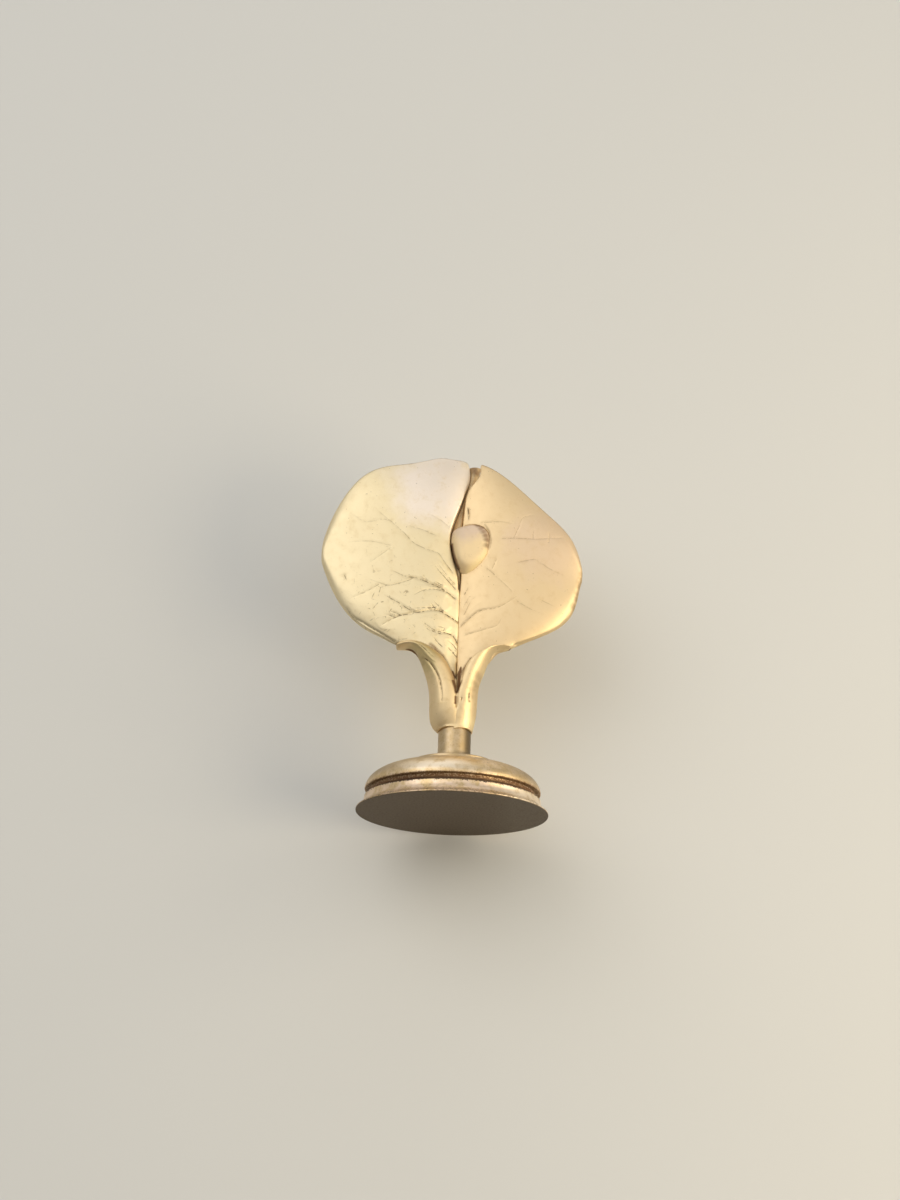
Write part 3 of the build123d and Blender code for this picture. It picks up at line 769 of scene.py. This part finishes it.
sheathLeft = {
    "voxel": 0.07, "softening": 8, "tips": {"beyond": 6.3, "fade": 0.7, "rounds": 160},
    "nudges": ((-0.9, 10.6, 1.6, 0.9, (0, 0, 0.55)), (-7.2, 21.9, 1.8, 2.4, (-0.9, 0, 0.2)),
               (-5.8, 21.6, 2.2, 3.0, (0, -0.1, 0.6))),
    "contactShade": 0.12,
    "stainsAndShades": (
        *trail(0.6, 0.3, (-6.4, 21.6), (-5.2, 20.9), (-4.4, 20.0)),
        *trail(0.6, 0.18, (-2.1, 12.6), (-1.2, 12.0)),
        *trail(0.25, 0.9, (-0.4, 17.3), (-0.15, 16.5), (0.0, 15.8)),
        *trail(0.16, 0.8, (-0.1, 15.1), (-0.1, 14.2)),
    ),
    "cuts": (
        vein(0.10, 0.8, (-5.06, 22.16), (-4.2, 21.4), (-3.1, 20.45), width=0.12),
        vein(0.15, 0.9, (-4.4, 20.3), (-3.54, 19.46), (-2.93, 18.63), (-2.42, 17.67), (-2.0, 16.0),
             (-1.9, 14.5), width=0.16),
    ),
}
sheathRight = {
    "voxel": 0.07, "softening": 8, "tips": {"beyond": 6.3, "fade": 0.7, "rounds": 160},
    "nudges": ((1.2, 10.6, 1.5, 0.9, (0, 0, 0.45)), (4.6, 19.4, 2.0, 1.9, (0.42, 0, -0.42))),
    "contactShade": 0.12,
    "stainsAndShades": (
        *trail(0.25, 0.9, (0.5, 17.3), (0.25, 16.5), (0.1, 15.8)),
        *trail(0.1, 0.8, (0.0, 15.1), (0.0, 14.2)),
        # painted shade over the highlight down the right bract's middle
        *trail(0.9, 0.32, (2.7, 18.2), (2.3, 17.0), (2.0, 15.4)),
        (1.7, 15.2, 0.25, 0.45), (1.8, 14.6, 0.2, 0.5),
    ),
    "paintedHighlights": (*trail(0.7, 0.8, (6.2, 21.5), (4.9, 20.3), (4.0, 19.0)), (1.9, 12.0, 0.9, 0.8)),
    "cuts": (
        vein(0.2, 1.0, (-0.05, 14.9), (-0.08, 14.2), (0.0, 13.7), width=0.16),
        vein(0.12, 0.8, (0.71, 14.85), (0.72, 14.4), width=0.1),
        vein(0.12, 0.8, (1.8, 15.6), (1.71, 14.5), width=0.1),
    ),
}
budForm = {
    "voxel": 0.07, "softening": 14, "swell": {"under": 38.0, "fade": 2.0, "amount": 0.14},
    "nudges": ((-0.8, 39.3, 1.0, 1.3, (-0.75, 0, 0.1)), (-1.1, 37.6, 0.9, 1.0, (-0.35, 0, 0)),
               (0.3, 34.7, 1.3, 1.6, (0, -0.6, 0))),
    "seat": -0.45, "depth": 0.8,
    "stainsAndShades": (
        # painted shade: a crescent down the bud's right side, and along its lower left edge by the crack
        *trail(0.6, 0.56, (2.1, 39.75), (2.95, 38.8), (3.4, 37.7), (3.5, 36.9)),
        *trail(0.22, 0.9, (-1.3, 37.0), (-1.1, 36.0), (-0.8, 34.9), (-0.25, 33.7)),
    ),
    "paintedHighlights": trail(0.5, 1.0, (3.5, 35.6), (2.3, 34.3), (1.1, 33.1)),
}
spineForm = {"voxel": 0.10, "softening": 8, "patinaAndShade": 0.34, "stainsAndShades": ((1.5, 48.8, 1.2, 0.6),)}
pinForm = {"voxel": 0.06, "softening": 4, "contactShade": 0.2}

left = castCopy("leaf_left", "leafLeft", leafLeft, leafSeam)
right = castCopy("leaf_right", "leafRight", leafRight, leafSeam)
bractL = castCopy("bract_left", "sheathLeft", sheathLeft)
bractR = castCopy("bract_right", "sheathRight", sheathRight)
bud = castCopy("bud", "budDrop", budForm)
spine = castCopy("leaf_spine", "leafSpine", spineForm)
pin = castCopy("bud_pin", "budPin", pinForm)
print("castings copied")

halves = ((left, leafLeft, leafSeam), (right, leafRight, leafSeam),
          (bractL, sheathLeft, sheathSeam), (bractR, sheathRight, sheathSeam))
for piece, form, seam in halves:
    softenTips(piece, form["tips"])
    nudge(piece, form["nudges"])
    closeSeam(piece, seam)
    engrave(piece, form["cuts"])
swell(bud, **budForm["swell"])
nudge(bud, budForm["nudges"])
flatten(bud, budForm["seat"], budForm["depth"])
print("castings shaped")


def patinaAndShade(piece, *layers):  # the strongest of its layers at each point
    keepValues(piece, "patinaAndShade", np.maximum.reduce(layers))


# patina and painted shade: painted shade where pieces meet and on rims that face upwards, and under the bud
# on the left half
patinaAndShade(left, blotches(left, leafLeft["stainsAndShades"]), upwardRimShade(left, leafLeft["paintedShade"]),
       nearness(left, (bractL,), leafLeft["contactShade"]),
       nearness(left, (bud,), leafLeft["contactShade"]) * below(left, **leafLeft["budShade"]))
patinaAndShade(right, blotches(right, leafRight["stainsAndShades"]), upwardRimShade(right, leafRight["paintedShade"]),
       nearness(right, (bractR,), leafRight["contactShade"]))
patinaAndShade(bractL, blotches(bractL, sheathLeft["stainsAndShades"]), nearness(bractL, (left,), sheathLeft["contactShade"]))
patinaAndShade(bractR, blotches(bractR, sheathRight["stainsAndShades"]), nearness(bractR, (right,), sheathRight["contactShade"]))
patinaAndShade(bud, blotches(bud, budForm["stainsAndShades"]))
patinaAndShade(spine, np.maximum(blotches(spine, spineForm["stainsAndShades"]), spineForm["patinaAndShade"]))
patinaAndShade(pin, nearness(pin, (right, spine), pinForm["contactShade"]))
keepValues(left, "frayed", blotches(left, leafLeft["frayed"]))
# painted highlights on the right half's lower rim, the right sheath's lip and cuff, and the bud's lower facet
for piece, form in ((right, leafRight), (bractR, sheathRight), (bud, budForm)):
    keepValues(piece, "paintedHighlight", blotches(piece, form["paintedHighlights"]))
print("patina laid")

place(left, "handle", "leaf_gilt", leftGilt, "leaf_left")
place(right, "handle", "leaf_gilt", rightGilt, "leaf_right")
place(bud, "handle", "leaf_gilt", budGilt, "bud")
place(spine, "handle", "leaf_gilt", rightGilt, "leaf_spine")
place(pin, "handle", "leaf_gilt", rightGilt, "bud_pin")
place(bractL, "handle", "sheath_gilt", sheathGilt, "bract_left")
place(bractR, "handle", "sheath_gilt", sheathGilt, "bract_right")


# Stage, light and camera

stagePale = {"colour": colour(0.62, 0.62, 0.60), "wallFoot": (0, 12.75, 0), "lean": 9.5, "wallSize": 2.0,
             "floorDrop": 0.05, "floorSize": 0.8}
softboxes = {
    "key": {"place": (-230, -300, 210), "aim": (0, 0, 32), "size": 340, "level": 1.46,
            "tint": (1.0, 0.97, 0.93)},
    "front": {"place": (60, -420, 90), "aim": (0, 0, 30), "size": 400, "level": 0.55,
              "tint": (1.0, 0.97, 0.93)},
    "warmSide": {"place": (230, -190, -60), "aim": (3, 0, 18), "size": 150, "level": 5.5,
                 "tint": (1.0, 0.84, 0.58)},
    "warmBand": {"place": (300, -130, 90), "aim": (6, 0, 8), "size": 230, "level": 2.4,
                 "tint": (1.0, 0.87, 0.64)},
    "top": {"place": (0, 40, 330), "aim": (0, 0, 30), "size": 300, "level": 0.6, "tint": (1.0, 0.98, 0.95)},
    "rear": {"place": (140, 330, 170), "aim": (0, 0, 30), "size": 300, "level": 1.1,
             "tint": (1.0, 0.98, 0.95)},
}
sky = {"high": colour(0.52, 0.52, 0.51), "low": colour(0.13, 0.125, 0.12), "from": -0.6, "to": 0.0}
camera = {"lens": 70, "sensor": 36, "distance": 311.668, "rise": 18.378, "roll": 2.1014,
          "aim": (-1.2515, 0, 29.2238)}


def oneSided(name, tone):  # pale from the front, nothing from behind
    material = bpy.data.materials.new(name)
    sheet = Sheet(material)
    behind = sheet.node("ShaderNodeNewGeometry", out=6)
    front = sheet.node("ShaderNodeBsdfDiffuse", {}, {"Color": tone})
    clear = sheet.node("ShaderNodeBsdfTransparent")
    shown = sheet.node("ShaderNodeMixShader", {}, {0: behind, 1: front, 2: clear})
    sheet.node("ShaderNodeOutputMaterial", {}, {"Surface": shown})
    return material


paleStage = oneSided("pale stage", stagePale["colour"])


def stagePlane(name, where, turn, size):  # its place in mm, its size in metres
    deselectAll()
    bpy.ops.mesh.primitive_plane_add(size=size, location=[c * mm for c in where],
                                     rotation=(math.radians(turn), 0, 0))
    plane = bpy.context.object
    plane.name = name
    bpy.ops.object.transform_apply(location=True, rotation=True, scale=True)
    plane.data.materials.append(paleStage)
    plane.visible_shadow = False
    return plane


stagePlane("wall", stagePale["wallFoot"], 90 - stagePale["lean"], stagePale["wallSize"])
floor = stagePlane("floor", (0, 0, -stagePale["floorDrop"]), 0, stagePale["floorSize"])
floor.visible_diffuse = False  # it doesn't darken the face that stands on it
floor.visible_glossy = False

for name, box in softboxes.items():
    deselectAll()
    spot = Vector(box["place"]) * mm
    bpy.ops.object.light_add(type="AREA", location=spot)
    lamp = bpy.context.object
    lamp.name = name
    lamp.rotation_euler = (Vector(box["aim"]) * mm - spot).to_track_quat("-Z", "Y").to_euler()
    lamp.data.size = box["size"] * mm
    lamp.data.energy = box["level"] * math.pi * lamp.data.size ** 2  # its level over its whole face
    lamp.data.color = box["tint"]
    lamp.visible_camera = False

world = bpy.data.worlds.new("studio")
bpy.context.scene.world = world
sheet = Sheet(world)
upward = sheet.ramp(sheet.part(sheet.node("ShaderNodeTexCoord"), "Z"), sky["from"], sky["to"])
glow = sheet.node("ShaderNodeBackground", {}, {"Color": sheet.blend(sky["low"], sky["high"], upward)})
sheet.node("ShaderNodeOutputWorld", {}, {"Surface": glow})

deselectAll()
rise, roll = math.radians(camera["rise"]), math.radians(camera["roll"])
forward = Vector((0, math.cos(rise), math.sin(rise)))
side = Vector((1, 0, 0))
upright = side.cross(forward)
across = math.cos(roll) * side + math.sin(roll) * upright
above = math.cos(roll) * upright - math.sin(roll) * side
bpy.ops.object.camera_add()
eye = bpy.context.object
stand = Matrix.Translation((Vector(camera["aim"]) - forward * camera["distance"]) * mm)
eye.matrix_world = stand @ Matrix((across, above, -forward)).transposed().to_4x4()
eye.data.lens = camera["lens"]
eye.data.sensor_width = camera["sensor"]
eye.data.clip_start = mm
bpy.context.scene.camera = eye
bpy.context.scene.view_settings.view_transform = "Standard"
print("stage, light and camera set")
